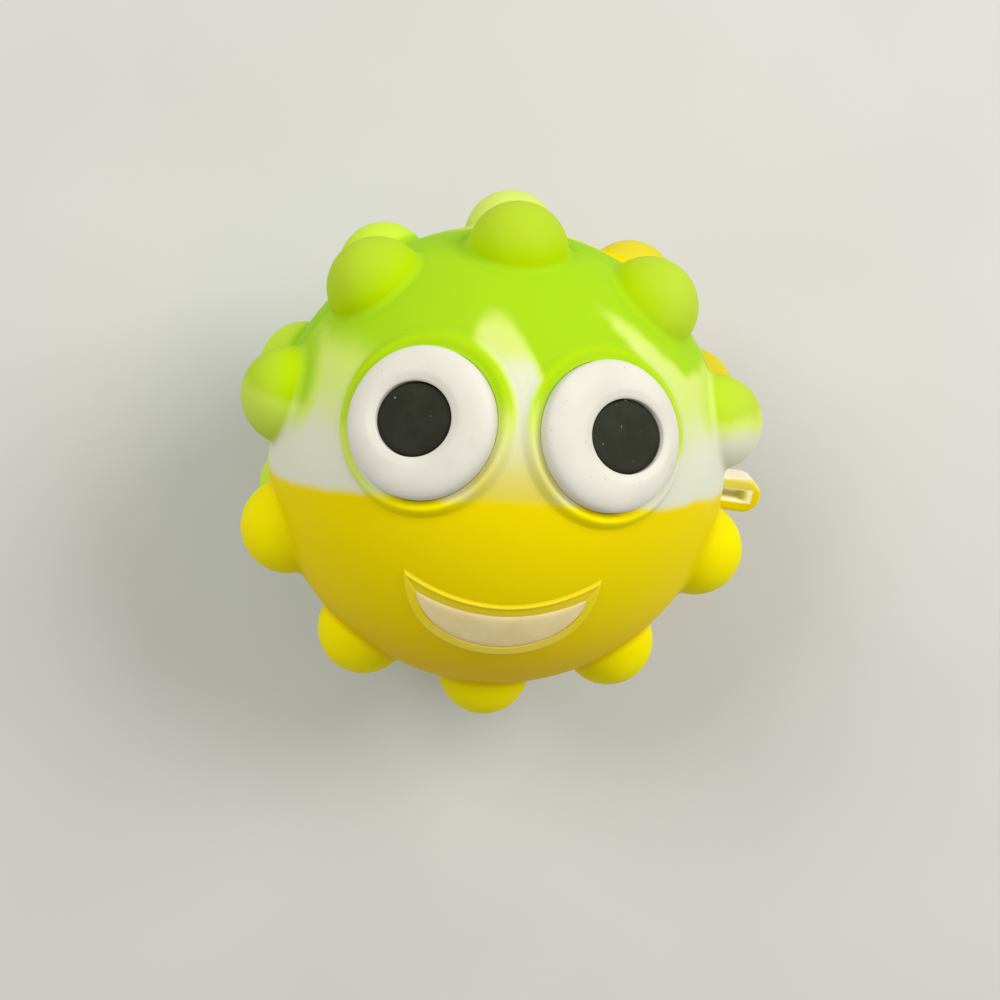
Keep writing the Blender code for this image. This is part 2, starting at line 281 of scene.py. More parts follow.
def mixed(amount, first, second):
    """A colour on the way from the first to the second by an amount from 0 to 1."""
    node = amount.tree.nodes.new("ShaderNodeMix")
    node.data_type = "RGBA"
    amount.tree.links.new(amount.socket, node.inputs["Factor"])
    for slot, colour in ((node.inputs["A"], first), (node.inputs["B"], second)):
        if isinstance(colour, Wire):
            amount.tree.links.new(colour.socket, slot)
        else:
            slot.default_value = colour
    return Wire(amount.tree, node.outputs["Result"])


class Place:
    """Where a point of a material is: its direction from the ball's centre, and how far out it is."""

    def __init__(self, tree):
        nodes, links = tree.nodes, tree.links
        self.tree = tree
        coordinates = nodes.new("ShaderNodeTexCoord")
        mapping = nodes.new("ShaderNodeMapping")
        mapping.vector_type = "TEXTURE"  # takes the place and turn of the ball away again
        mapping.inputs["Location"].default_value = CENTRE
        mapping.inputs["Rotation"].default_value = (math.radians(LEAN), 0, 0)
        mapping.inputs["Scale"].default_value = (BALL_R,) * 3
        links.new(coordinates.outputs["Object"], mapping.inputs["Vector"])
        self.point = Wire(tree, mapping.outputs[0])
        self.direction = self.point.through("ShaderNodeVectorMath", "NORMALIZE", (self.point,))
        split = nodes.new("ShaderNodeSeparateXYZ")
        links.new(self.direction.socket, split.inputs[0])
        self.x, self.y, self.z = (Wire(tree, s) for s in split.outputs)
        length = nodes.new("ShaderNodeVectorMath")
        length.operation = "LENGTH"
        links.new(self.point.socket, length.inputs[0])
        self.out = Wire(tree, length.outputs["Value"])

    def towards(self, vector):
        """How far the direction leans towards a vector: their dot product."""
        node = self.tree.nodes.new("ShaderNodeVectorMath")
        node.operation = "DOT_PRODUCT"
        self.tree.links.new(self.direction.socket, node.inputs[0])
        node.inputs[1].default_value = tuple(float(v) for v in vector)
        return Wire(self.tree, node.outputs["Value"])

    def noise(self, millimetres, detail=2.0):
        """Cloudy noise about zero, from -0.5 to 0.5, with patches of about that size."""
        node = self.tree.nodes.new("ShaderNodeTexNoise")
        node.inputs["Scale"].default_value = BALL_R * 1000 / millimetres
        node.inputs["Detail"].default_value = detail
        self.tree.links.new(self.point.socket, node.inputs["Vector"])
        return Wire(self.tree, node.outputs["Fac"]) - 0.5


def rubber(name, paint, roughness=0.5, grain=0.00002, soft=0.12, gloss=0.03):
    """A satin rubber whose colour is what paint makes of the place.

    The grain is the height of a fine sand-blasted bump in metres, soft the share of light that goes
    some way through the rubber, and gloss the strength of the reflections.
    """
    material = bpy.data.materials.new(name)
    material.use_nodes = True
    tree = material.node_tree
    shader = tree.nodes["Principled BSDF"]
    place = Place(tree)
    colour = paint(place)
    cloud = place.noise(2.5, 3.0)
    tree.links.new(colour.socket, shader.inputs["Base Color"])
    tree.links.new((cloud * 0.10 + roughness).socket, shader.inputs["Roughness"])
    bump = tree.nodes.new("ShaderNodeBump")
    bump.inputs["Distance"].default_value = grain
    bump.inputs["Strength"].default_value = 0.5
    height = place.noise(0.22, 2.0) + place.noise(1.4, 1.0) * 1.5  # fine sand on slight unevenness
    tree.links.new(height.socket, bump.inputs["Height"])
    tree.links.new(bump.outputs["Normal"], shader.inputs["Normal"])
    shader.inputs["Specular IOR Level"].default_value = gloss
    shader.inputs["Specular Tint"].default_value = (1.0, 1.0, 0.6, 1.0)
    shader.inputs["Subsurface Weight"].default_value = soft
    shader.inputs["Subsurface Radius"].default_value = (1.0, 0.8, 0.4)
    shader.inputs["Subsurface Scale"].default_value = 0.0015
    material.diffuse_color = (0.6, 0.7, 0.1, 1.0)  # only for a plain view
    return material


# %% The colours of the front half
GREEN = linear(160, 204, 26)
BAND_GREEN = linear(152, 202, 26)
# The saturated green at the foot of the bubbles is painted shade, and the yellower green and the
# brighter yellow of their domes are painted light.
FOOT_SHADE_GREEN = linear(176, 208, 0)
BUBBLE_LIT_GREEN = linear(174, 201, 44)
PALE_GREEN = linear(202, 221, 102)
OFF_WHITE = linear(215, 217, 196)
CREAM_YELLOW = linear(214, 201, 62)
YELLOW = linear(230, 207, 0)
# The darker, more orange yellow towards the chin is painted shade.
CHIN_SHADE_YELLOW = linear(228, 192, 0)
BUBBLE_LIT_YELLOW = linear(236, 222, 0)

EYE_AXES = {"left": looking(-22.0, 22.4), "right": looking(23.0, 21.9)}
SIDE_BUBBLES = [looking(-74.0, 17.0), looking(74.0, 17.0)]  # the two beside the eyes
# Straight edges of the pale patches are great circles, each given by the direction square to it.
WEDGE_RIGHT = (0.816, 0.405, -0.411)
STREAK_LEFT, STREAK_RIGHT = (0.679, 0.187, -0.710), (0.231, 0.481, -0.846)


def poured_front(place):
    """Green over pale over yellow, with a pale wedge between the eyes and a pale streak at the right.

    Every patch is a product of rises, so it is 1 inside and fades to 0 across each of its edges.
    Patches are joined by taking the larger. The edges wander by a slow and a quick cloud of noise.
    """
    x, z = place.x, place.z
    wobble = place.noise(9.0, 2.0) * 0.10 + place.noise(2.6, 2.0) * 0.035
    y = place.y + wobble
    left_temple = y.rise(0.66, 0.46) * x.rise(-0.30, -0.46)
    wedge = (
        x.rise(-0.205, -0.125)
        * (place.towards(WEDGE_RIGHT) + wobble).rise(0.045, -0.03)
        * (y + (x + 0.09) * (x + 0.09) * 6.0).rise(0.80, 0.70)  # a rounded top
    )
    streak = (
        (place.towards(STREAK_LEFT) + wobble).rise(-0.07, 0.0)
        * (place.towards(STREAK_RIGHT) + wobble).rise(0.025, -0.075)
    )
    under_green = (y - x.rise(-0.10, 0.12) * 0.07).rise(0.50, 0.42)
    area = left_temple.either(wedge).either(streak).either(under_green)
    pale = area * (y.rise(0.46, 0.16) * 0.45 + 0.55)  # whiter lower down
    pale = pale.either(wedge * y.rise(0.80, 0.55) * 0.9)

    # The collars stay green above and turn pale only low down.
    left_collar = place.towards(EYE_AXES["left"]).rise(cosine(21.4), cosine(18.8))
    right_collar = place.towards(EYE_AXES["right"]).rise(cosine(20.0), cosine(18.2))
    collar = left_collar.either(right_collar)
    on_collar = y.rise(0.56, 0.30) * 0.75 + y.rise(0.30, 0.18) * 0.25
    pale = pale + (on_collar - pale) * collar

    # The two bubbles beside the eyes and the band outside the moulding line have their own paleness.
    band = z.rise(0.245, 0.205) * y.rise(-0.08, 0.02)
    beside = place.towards(SIDE_BUBBLES[0]).either(place.towards(SIDE_BUBBLES[1]))
    bubble = place.out.rise(0.999, 1.03)
    edge_of_bubble = beside.rise(cosine(21.0), cosine(14.0)) * place.y.rise(0.10, 0.40)
    edge_of_bubble = edge_of_bubble * (x.rise(0.6, 0.2) * 0.5 + 0.35)
    right = x.rise(0.2, 0.6)
    pale_bubble = (
        right * 0.13
        + y.rise(0.345, 0.275) * (right * 0.20 + 0.25)
        + y.rise(0.31, 0.17) * right * 0.6
    )
    beside_eyes = x.math("ABSOLUTE").rise(0.35, 0.6)
    pale = pale + (pale_bubble - pale) * band.either(bubble).either(edge_of_bubble) * beside_eyes

    # From the mask to colours: green, pale green and off-white, then yellow below its wavy edge.
    # On the bubbles the green runs from a saturated foot, painted shade, to a yellower dome, painted
    # light.
    bubble_lit_green = mixed(place.out.rise(1.03, 1.14), FOOT_SHADE_GREEN, BUBBLE_LIT_GREEN)
    green = mixed(bubble, mixed(band, GREEN, BAND_GREEN), bubble_lit_green)
    upper = mixed(pale.rise(0.0, 0.5), green, PALE_GREEN)
    upper = mixed(pale.rise(0.42, 1.0), upper, OFF_WHITE)
    edge = place.y + x * x * 0.20 + wobble * 0.5 - x.rise(0.45, 0.85) * 0.035
    middle = x.math("ABSOLUTE").rise(0.26, 0.10)
    creamy = mixed(edge.rise(0.44, 0.15) * middle * 0.95, upper, CREAM_YELLOW)
    # Towards the chin the yellow turns darker and more orange: painted shade.
    skin_yellow = mixed(place.y.rise(-0.30, -0.75), YELLOW, CHIN_SHADE_YELLOW)
    # The domes take a brighter yellow than the skin: painted light.
    yellow = mixed(bubble, skin_yellow, BUBBLE_LIT_YELLOW)
    return mixed(edge.rise(0.172, 0.128), creamy, yellow)


front_rubber = rubber("poured_rubber_front", poured_front)
print("front half painted with", len(front_rubber.node_tree.nodes), "nodes")

# %% The colours of the back half
BACK_YELLOW = linear(216, 200, 46)
BACK_GREEN = linear(192, 222, 58)


def poured_back(place):
    """Green on one side and yellow on the other, with a pale stripe where the two ran together."""
    wobble = place.noise(12.0, 2.0) * 0.32 + place.noise(3.5, 2.0) * 0.06
    side = place.x + wobble
    bubble = place.out.rise(1.012, 1.05)
    green = mixed(bubble, BAND_GREEN, BACK_GREEN)
    stripe = mixed(side.rise(-0.34, -0.10), green, PALE_GREEN)
    stripe = mixed(place.noise(7.0, 2.0).rise(0.0, 0.16) * side.rise(-0.3, 0.0), stripe, OFF_WHITE)
    yellow = mixed(bubble, YELLOW, BACK_YELLOW)
    return mixed(side.rise(0.16, 0.34), stripe, yellow)


back_rubber = rubber("poured_rubber_back", poured_back)

# %% [markdown]
# ## The two skins
#
# A skin is a sphere with a shallow moulding line near its edge, a groove where the halves are glued,
# and a round hole under every bubble and eye. The grid of polar angles and turns is made whole, the
# faces inside a hole are left out, and the points round it are moved onto its circle. The same points
# on a smaller radius make the inside, and a wall along every open edge closes the solid.

# %% The height of the skin above the sphere
CREASE_POLAR, CREASE_DEPTH, CREASE_WIDTH = 79.3, 0.00020, 0.55
SEAM_DEPTH, SEAM_WIDTH = 0.00035, 0.40
SEAM_GAP = 0.12  # half the opening between the skins, in degrees


def skin_lift(directions):
    """A small dip, falling off like a bell curve either side of the moulding line and the glued seam.

    Each is minus its depth times e to the power of minus the square of (the polar angle less the
    line's, over its width).
    """
    polar = np.degrees(np.arccos(np.clip(directions[..., 2], -1, 1)))
    crease = CREASE_DEPTH * np.exp(-(((polar - CREASE_POLAR) / CREASE_WIDTH) ** 2))
    seam = SEAM_DEPTH * np.exp(-(((polar - 90.0) / SEAM_WIDTH) ** 2))
    return -(crease + seam)


# %% Where the holes are
BUBBLE_R = 0.00615
DOME_HEIGHT = 0.0288  # the dome's centre from the ball's centre
FILLET = 0.0011  # radius of the hollow round a bubble's foot
EYE_HOLE_R = 0.0096

_reach, _dome = BALL_R + FILLET, BUBBLE_R + FILLET
_fillet_z = (_reach**2 + DOME_HEIGHT**2 - _dome**2) / (2 * DOME_HEIGHT)
_fillet_r = math.sqrt(_reach**2 - _fillet_z**2)
FOOT_ANGLE = math.degrees(math.atan2(_fillet_r, _fillet_z))  # where the fillet meets the skin
HOLE_ANGLE = FOOT_ANGLE + 0.25  # edge of the hole in the skin
FLANGE_ANGLE = FOOT_ANGLE + 1.35  # edge of the thin flange that covers it
print("bubbles reach", round(FLANGE_ANGLE, 2), "degrees from their axes")

bubbles = {}
for joint in frame["joints"]:
    node = frame["record"]["behaviour"]["bodies"][joint["child"]][0]
    outwards = -np.array(joint["axis"]) @ TILT
    bubbles[node] = {"axis": unit(outwards), "body": joint["child"], "travel": joint["range_m"][1]}
in_front = {name: b for name, b in bubbles.items() if b["axis"][2] > 0}
behind = {name: b for name, b in bubbles.items() if b["axis"][2] < 0}
print("bubbles in front:", len(in_front), "behind:", len(behind))


# %% Build a skin
SNAP_ANGLE = 2.0  # points of a hole's border are within this of its circle, in degrees


def outside(directions, holes):
    """Whether each direction is farther from every hole's axis than the hole's angle."""
    keep = np.ones(len(directions), bool)
    for axis, angle in holes:
        keep &= directions @ axis < cosine(angle)
    return keep


def skin(name, polar, holes, columns, **kind):
    """A closed shell over a band of polar angles with round holes.

    A point is the ball's radius plus the lift, times (sine of polar times sine of turn, sine of polar
    times cosine of turn, cosine of polar). The first or last row may be a pole.
    """
    turn = np.arange(columns) * 2 * np.pi / columns
    theta = np.radians(polar)[:, None]
    grid = np.stack(
        [np.sin(theta) * np.sin(turn), np.sin(theta) * np.cos(turn), np.cos(theta) + 0 * turn], axis=-1
    )
    directions = grid.reshape(-1, 3)
    quads = grid_quads(len(polar), columns)
    pole_z = 1.0 if polar[0] < 90 else -1.0
    directions = np.concatenate([directions, [[0.0, 0.0, pole_z]]])
    tip, first = len(directions) - 1, 0 if pole_z > 0 else (len(polar) - 1) * columns
    cap = fan(tip, first, columns, pole_z > 0)
    if pole_z < 0:
        quads = quads[:, ::-1]
    keep = outside(unit(directions[quads].mean(axis=1)), holes)
    cap = cap[outside(unit(directions[cap].mean(axis=1)), holes)]
    kept, lost = quads[keep], quads[~keep]
    border = np.intersect1d(kept, lost)
    for axis, angle in holes:
        near = border[directions[border] @ axis > cosine(angle + SNAP_ANGLE)]
        across = unit(directions[near] - (directions[near] @ axis)[:, None] * axis)
        directions[near] = cosine(angle) * axis + math.sin(math.radians(angle)) * across
    used, kept_flat = np.unique(np.concatenate([kept.ravel(), cap.ravel()]), return_inverse=True)
    quads = kept_flat[: kept.size].reshape(-1, 4)
    tris = kept_flat[kept.size :].reshape(-1, 3)
    directions = directions[used]
    outer = directions * (BALL_R + skin_lift(directions))[:, None]
    inner = directions * (BALL_R - WALL)
    count = len(directions)
    pairs = [np.stack([block, np.roll(block, -1, axis=1)], axis=-1) for block in (quads, tris)]
    edges = np.concatenate([pair.reshape(-1, 2) for pair in pairs])
    undirected = np.sort(edges, axis=1)
    _, back, times = np.unique(undirected, axis=0, return_inverse=True, return_counts=True)
    open_edges = edges[times[back.ravel()] == 1]
    wall = np.stack(
        [open_edges[:, 1], open_edges[:, 0], open_edges[:, 0] + count, open_edges[:, 1] + count], axis=1
    )
    faces = [quads, quads[:, ::-1] + count, wall]
    if len(tris):
        faces += [tris, tris[:, ::-1] + count]
    obj = piece(name, np.concatenate([outer, inner]), faces, "ball", **kind)
    triangles = sum(len(block) * (block.shape[1] - 2) for block in faces)
    print(name, "has", triangles, "triangles and", len(holes), "holes")
    return obj


SKIN_COLUMNS = 360
# Polar angles in degrees, closer together near the moulding line and near the seam.
front_rows = np.concatenate(
    [
        np.linspace(0.9, 76.8, 80),
        np.linspace(77.4, 81.4, 13),
        np.linspace(82.2, 88.2, 7),
        np.linspace(88.6, 90 - SEAM_GAP, 8),
    ]
)
back_rows = np.concatenate([np.linspace(90 + SEAM_GAP, 91.4, 8), np.linspace(92.0, 179.1, 92)])
bubble_holes = {name: (b["axis"], HOLE_ANGLE) for name, b in bubbles.items()}
eye_angle = math.degrees(math.asin(EYE_HOLE_R / BALL_R))
eye_holes = [(axis, eye_angle) for axis in EYE_AXES.values()]
skin(
    "front_skin",
    front_rows,
    [bubble_holes[name] for name in in_front] + eye_holes,
    SKIN_COLUMNS,
    nodes=["front_shell"],
    finish=front_rubber,
)
skin(
    "back_skin",
    back_rows,
    [bubble_holes[name] for name in behind],
    SKIN_COLUMNS,
    nodes=["back_shell"],
    finish=back_rubber,
)

# %% [markdown]
# ## The bubbles
#
# A bubble is a thin dome that runs out into the skin through a hollow fillet. When it is pushed it
# turns inside out, so it can't be a rigid cap: the foot stays with the ball and the top travels
# inwards.

# %% Build the bubbles
BUBBLE_WALL = 0.0011
BUBBLE_SEGMENTS = 88
PROUD = 0.000012  # how far a flange stands over the skin it covers
FLANGE_THICK = 0.00012
HOLE_CLEARANCE = 0.1  # between the dome's root and the edge of its hole, in degrees
DIP_REACH = 0.0004  # points this near the ball's surface follow the skin's dips
BLEND_FROM, BLEND_TO = 0.0292, 0.0358  # distances from the centre along a bubble's axis


def from_centre(distance, angle):
    """Radius and height of a point at a distance from the ball's centre, at an angle from the axis."""
    angle = np.radians(angle)
    return np.stack([distance * np.sin(angle), distance * np.cos(angle)], axis=-1)


def bubble_profile():
    """Radius and height from the dome's top down its outside, round the flange and back up inside."""
    meet = math.degrees(math.atan2(_fillet_r, _fillet_z - DOME_HEIGHT))
    top = arc((0, DOME_HEIGHT), BUBBLE_R, 0, meet, 27)
    fillet = arc((_fillet_r, _fillet_z), FILLET, meet + 180, FOOT_ANGLE + 180, 11)[1:]
    flange_at = np.linspace(FOOT_ANGLE + 0.12, FLANGE_ANGLE, 6)
    flange = from_centre(BALL_R + np.linspace(PROUD, -PROUD, 6), flange_at)
    depths = np.array([FLANGE_THICK, FLANGE_THICK, BUBBLE_WALL])
    angles = np.array([FLANGE_ANGLE, HOLE_ANGLE - HOLE_CLEARANCE, HOLE_ANGLE - HOLE_CLEARANCE])
    under = from_centre(BALL_R - depths, angles)
    inside = arc((0, DOME_HEIGHT), BUBBLE_R - BUBBLE_WALL, 84, 0, 18)
    return np.concatenate([top, fillet, flange, under, inside])


BUBBLE_PROFILE = bubble_profile()
for name, bubble in bubbles.items():
    points, faces = turned(BUBBLE_PROFILE[:, 0], BUBBLE_PROFILE[:, 1], bubble["axis"], BUBBLE_SEGMENTS)
    out = np.linalg.norm(points, axis=1)[:, None]
    share = np.clip(1 - np.abs(out - BALL_R) / DIP_REACH, 0, 1)
    points = points + points / out * skin_lift(points / out)[:, None] * share
    dome = piece(
        name + "_dome",
        points,
        faces,
        None,
        nodes=[name],
        finish=front_rubber if name in in_front else back_rubber,
    )
    foot, tip = (on_table(bubble["axis"] * far) for far in (BLEND_FROM, BLEND_TO))
    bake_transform(dome)
print("made", len(bubbles), "bubbles of", len(faces[0]) * 2, "triangles")

# %% [markdown]
# ## The eyes
#
# Each eye sits in a round collar that swells out of the skin, lower and softer towards the forehead.
# The white is a fat ring with a rounded edge and a slight dip at the pupil, and the pupil is a
# separate disc set a little off its middle. All three are turned profiles. The collar's profile
# changes with the turn, and the white runs between two outlines that don't share a centre.

# %% Build the collars
EYE_R = 0.00847
COLLAR_GAP = 0.00006  # between the white and the collar
EYE_SEGMENTS = 160
SEAT_R, SEAT_Z = 0.0066, 0.0283  # the ledge under the white: its inner radius and its height
COLLAR_BACK_R, COLLAR_BACK_Z = 0.0093, 0.0268  # the back of the collar, inside the ball


def on_sphere(radius, lift):
    """Height along the axis of a point at a radius across it and a lift over the ball's surface."""
    return np.sqrt((BALL_R + lift) ** 2 - radius**2)


def collar_profile(segments):
    """Radius and height of the collar for every turn from the forehead side.

    The lift over the ball climbs with the square of a sine from the eye's edge to the crest, and falls
    with the square of a cosine to nothing at the foot. Towards the forehead the crest is lower and
    further out.
    """
    turn = np.arange(segments) * 2 * np.pi / segments
    top = ((1 + np.cos(turn)) / 2) ** 2
    start = EYE_R + COLLAR_GAP
    crest = 0.00948 + 0.00035 * top
    foot = 0.01048 + 0.0006 * top
    tall = 0.00072 - 0.00030 * top
    climb = np.linspace(0, 1, 11)[:, None]
    inner_r = start + (crest - start) * climb
    inner_lift = tall * (0.30 + 0.70 * np.sin(np.pi / 2 * climb) ** 2)
    fall = np.linspace(0, 1, 15)[1:, None]
    outer_r = crest + (foot - crest) * fall
    outer_lift = tall * np.cos(np.pi / 2 * fall) ** 2 + PROUD * fall
    away = np.linspace(0, 1, 4)[1:, None]
    edge_r = foot + 0.0005 * away
    edge_lift = PROUD * (1 - 2 * away) + 0 * tall
    radius = np.concatenate([inner_r, outer_r, edge_r])
    height = on_sphere(radius, np.concatenate([inner_lift, outer_lift, edge_lift]))
    last = radius[-1]
    same = np.ones(segments)
    below = [
        (last, on_sphere(last, -0.0002)),
        (last - 0.0012, on_sphere(last - 0.0012, -0.0006)),
        (COLLAR_BACK_R * same, COLLAR_BACK_Z * same),
        (SEAT_R * same, COLLAR_BACK_Z * same),
        (SEAT_R * same, SEAT_Z * same),
        (start * same, SEAT_Z * same),
    ]
    radius = np.concatenate([radius, [r for r, _ in below]])
    height = np.concatenate([height, [h for _, h in below]])
    return radius, height


for side, axis in EYE_AXES.items():
    points, faces = turned(*collar_profile(EYE_SEGMENTS), axis, EYE_SEGMENTS)
    piece(f"eye_collar_{side}", points, faces, "ball", finish=front_rubber)
print("collars stand on the skin with", EYE_SEGMENTS, "steps round each eye")

# %% The finishes of the eyes
def eye_white_paint(place):
    """Warm off-white with faint clouds and a few specks of dust."""
    cloud = place.noise(5.0, 3.0)
    speck = place.noise(0.42, 0.0).rise(0.29, 0.32) * place.noise(2.2, 0.0).rise(0.10, 0.18)
    base = mixed(cloud.rise(-0.25, 0.25), linear(210, 208, 197), linear(217, 215, 204))
    return mixed(speck * 0.4, base, linear(120, 118, 104))


def pupil_paint(place):
    """Nearly black with a greenish cast and a few pale crumbs."""
    cloud = place.noise(2.0, 3.0)
    crumb = place.noise(0.42, 0.0).rise(0.29, 0.33) * place.noise(2.6, 0.0).rise(0.02, 0.12)
    base = mixed(cloud.rise(-0.25, 0.25), linear(26, 28, 25), linear(36, 38, 34))
    return mixed(crumb * 0.6, base, linear(150, 150, 140))


eye_rubber = rubber(
    "eye_white_rubber", eye_white_paint, roughness=0.46, grain=0.000008, soft=0.06, gloss=0.10
)
pupil_rubber = rubber(
    "pupil_rubber", pupil_paint, roughness=0.55, grain=0.00001, soft=0.0, gloss=0.16
)

# %% Build the whites and the pupils
PUPIL_R = 0.00415
PUPIL_SHIFT = {"left": (-0.00045, 0.00015), "right": (0.00115, -0.0002)}  # to the right, and up
PUPIL_SIZE = {"left": (1.03, 0.98), "right": (1.07, 0.985)}  # they aren't quite round
EDGE_Z, CREST_Z, PUPIL_Z = 0.0299, 0.03145, 0.0307  # heights of the edge, the crest and the pupil
WHITE_WALL_Z, HOLE_TOP_Z, WHITE_BACK_Z = 0.0296, 0.0300, 0.02835
SHOULDER_WIDTH = 0.0032
DIP_WIDTH, DIP_DEPTH = 0.0011, 0.00022
HOLE_EDGE_WIDTH, HOLE_EDGE_DEPTH = 0.00022, 0.00016
PUPIL_GAP = 0.00010
PUPIL_EDGE, PUPIL_DOME, PUPIL_BACK_Z = 0.0003, 0.00008, 0.0295


def eye_white_points(shift, size, segments):
    """Rows of points round the white, from the pupil over the top to the outer edge and underneath.

    A point of the top lies on the straight line between a point of the pupil's outline and the point
    of the outer circle at the same turn. Its height is the edge's height, plus a quarter ellipse of
    the distance from the edge, less a smooth dip towards the pupil and a small rounding at the hole.
    """
    turn = np.arange(segments) * 2 * np.pi / segments
    ring = np.stack([np.sin(turn), np.cos(turn)], axis=-1)
    hole = shift + PUPIL_R * size * ring + PUPIL_GAP * ring
    outer = EYE_R * ring
    share = np.sin(np.linspace(0, np.pi / 2, 40))[:, None, None]
    flat = hole + (outer - hole) * share
    from_rim = EYE_R - np.linalg.norm(flat, axis=-1)
    from_pupil = np.linalg.norm(flat - hole, axis=-1)
    shoulder = np.clip(1 - from_rim / SHOULDER_WIDTH, 0, 1)
    dip = np.clip(1 - from_pupil / DIP_WIDTH, 0, 1)
    rounding = np.clip(1 - from_pupil / HOLE_EDGE_WIDTH, 0, 1)
    height = (
        EDGE_Z
        + (CREST_Z - EDGE_Z) * np.sqrt(np.clip(1 - shoulder**2, 0, 1))
        - DIP_DEPTH * dip**2 * (3 - 2 * dip)
        - HOLE_EDGE_DEPTH * (1 - np.sqrt(1 - rounding**2))
    )
    top = np.concatenate([flat, height[..., None]], axis=-1)
    below = ((outer, WHITE_WALL_Z), (outer, WHITE_BACK_Z), (hole, WHITE_BACK_Z), (hole, HOLE_TOP_Z))
    ends = [np.concatenate([line, np.full((segments, 1), z)], axis=-1) for line, z in below]
    return np.concatenate([top, np.stack(ends)])


def pupil_profile():
    """A disc with a rounded edge, a little higher in its middle, closed underneath."""
    across = np.linspace(0, PUPIL_R - PUPIL_EDGE, 12)
    top = np.stack([across, PUPIL_Z + PUPIL_DOME * (1 - (across / PUPIL_R) ** 2)], axis=1)
    edge = arc((PUPIL_R - PUPIL_EDGE, PUPIL_Z - PUPIL_EDGE), PUPIL_EDGE, 0, 90, 8)[1:]
    under = np.array([[PUPIL_R, PUPIL_BACK_Z], [PUPIL_R - 0.0004, PUPIL_BACK_Z], [0, PUPIL_BACK_Z]])
    return np.concatenate([top, edge, under])


for side, axis in EYE_AXES.items():
    shift, size = np.array(PUPIL_SHIFT[side]), np.array(PUPIL_SIZE[side])
    rows = eye_white_points(shift, size, EYE_SEGMENTS)
    points = rows.reshape(-1, 3) @ along(axis)
    faces = [grid_quads(rows.shape[0], EYE_SEGMENTS, join_rows=True)]
    white = [f"eye_white_{side}"]
    piece(f"eye_white_{side}_ring", points, faces, "ball", nodes=white, finish=eye_rubber)
    profile = pupil_profile()
    disc, disc_faces = turned(profile[:, 0], profile[:, 1], (0, 0, 1), 96)
    disc = (disc * [*size, 1] + [*shift, 0]) @ along(axis)
    piece(f"pupil_{side}_disc", disc, disc_faces, "ball", nodes=[f"pupil_{side}"], finish=pupil_rubber)
print("eyes are", round(EYE_R * 2000, 1), "mm across and their pupils", round(PUPIL_R * 2000, 1), "mm")

# %% [markdown]
# ## The mouth
#
# The smile is a crescent of cream rubber framed by the lips. The lips are one closed ridge with two
# pointed corners, so they are drawn as a strip between an outer and an inner outline. Both outlines
# are short formulas in degrees on the ball, in which s runs from -1 at the left corner to 1 at the
# right one. The upper lip has a bead near its outer edge, and both slope gently to the teeth.

# %% The outlines of the mouth
TEETH_MIDDLE, LIP_MIDDLE = -0.10, -0.15  # longitudes of the middles, in degrees
LIP_STEPS = 110


def teeth_upper(s):
    """Latitude 4.2 times the square of s over -19.4, at longitude 19.4 times s from the middle."""
    return 19.4 * s + TEETH_MIDDLE, -19.4 + 4.2 * s**2


def teeth_lower(s):
    """Half an ellipse 14.7 degrees deep under latitude -15.6, at longitude 19.4 times s."""
    return 19.4 * s + TEETH_MIDDLE, -15.6 - 14.7 * np.sqrt(np.clip(1 - s**2, 0, 1))


def lip_upper(s):
    """Latitude 6.2 times the square of s over -16.4, at longitude 22.2 times s from the middle."""
    return 22.2 * s + LIP_MIDDLE, -16.4 + 6.2 * s**2


def lip_lower(s):
    """A fuller bow than an ellipse: 22.3 degrees deep, with the power 0.375 instead of a root."""
    return 22.4 * s + LIP_MIDDLE, -10.8 - 22.3 * np.clip(1 - s**2, 0, 1) ** 0.375


def outline(upper, lower):
    """Directions once round the mouth: the upper edge from left to right, then the lower edge back."""
    s = np.sin(np.linspace(-np.pi / 2, np.pi / 2, LIP_STEPS))
    lon_u, lat_u = upper(s)
    lon_l, lat_l = lower(s[::-1])
    return looking(np.concatenate([lon_u, lon_l]), np.concatenate([lat_u, lat_l]))


# %% Build the lips and the teeth
LIP_TALL = 0.00036
TEETH_LIFT = 0.00022  # of the middle of the teeth over the ball
TEETH_ROUNDING = 0.00022  # how much lower their edge is
TEETH_BACK = 0.0012  # depth of their underside
LIP_FOOT = 0.0006  # depth of the lips' underside

outer_line = outline(lip_upper, lip_lower)
inner_line = outline(teeth_upper, teeth_lower)
count = len(outer_line)
is_upper = np.arange(count) < LIP_STEPS

# How far a point is from the outer outline to the inner one, and how high it is there.
across = np.concatenate([np.linspace(0, 0.5, 12), np.linspace(0.56, 1, 10)])[:, None]
climb = np.clip(across / 0.22, 0, 1)
plateau = np.sin(np.pi / 2 * climb) ** 2 * (1 - 0.4 * across)
bead = np.exp(-(((across - 0.18) / 0.14) ** 2))
lift = LIP_TALL * np.where(is_upper, 0.4 * plateau + 0.4 * bead, 0.9 * plateau)
strip = unit(outer_line * (1 - across)[..., None] + inner_line * across[..., None])
skirt = unit(outer_line + (outer_line - inner_line) * 0.12)  # runs out under the skin
rows = np.stack(
    [
        skirt * (BALL_R - 2 * PROUD),
        *(strip * (BALL_R + PROUD * (1 - across) + lift)[..., None]),
        unit(inner_line) * (BALL_R + TEETH_LIFT - 0.0002),
        unit(inner_line) * (BALL_R - LIP_FOOT),
        outer_line * (BALL_R - LIP_FOOT),
        skirt * (BALL_R - LIP_FOOT / 2),
    ]
)


def lip_paint(place):
    """The yellow of the skin, paler on the lower lip."""
    below = place.towards((0.0, -0.947, 0.321)).rise(0.63, 0.70)
    return mixed(below * 0.35 + 0.12, poured_front(place), linear(236, 216, 110))


piece(
    "lips",
    rows.reshape(-1, 3),
    [grid_quads(rows.shape[0], count, join_rows=True)],
    "ball",
    finish=rubber("lip_rubber", lip_paint),
)


